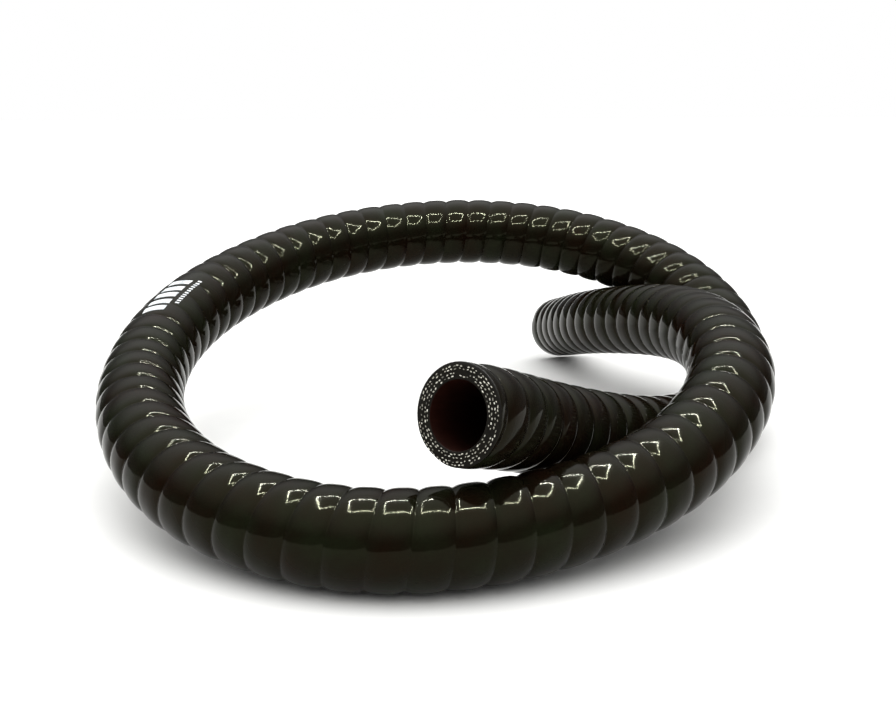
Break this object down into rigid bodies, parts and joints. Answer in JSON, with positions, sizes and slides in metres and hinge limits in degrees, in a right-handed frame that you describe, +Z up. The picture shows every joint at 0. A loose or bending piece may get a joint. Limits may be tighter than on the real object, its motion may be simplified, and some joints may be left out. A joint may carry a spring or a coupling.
{
  "type": "silicone hose",
  "caption": "Silicone hose with a helically ribbed outside and a plain bore, both ends cut square, lying in one loose turn and a third.",
  "frame": {"origin": "centre of the bounding box's bottom face, on the surface the hose lies on", "axes": "+Z up, +Y away from the picture's camera, +X to the right of the picture"},
  "size_m": [0.2314, 0.2704, 0.0758],
  "materials": {
    "silicone_rubber": "glossy black silicone, pressed smooth by its curing wrap"
  },
  "bodies": {
    "root": {"hose": "silicone_rubber"}
  },
  "joints": []
}
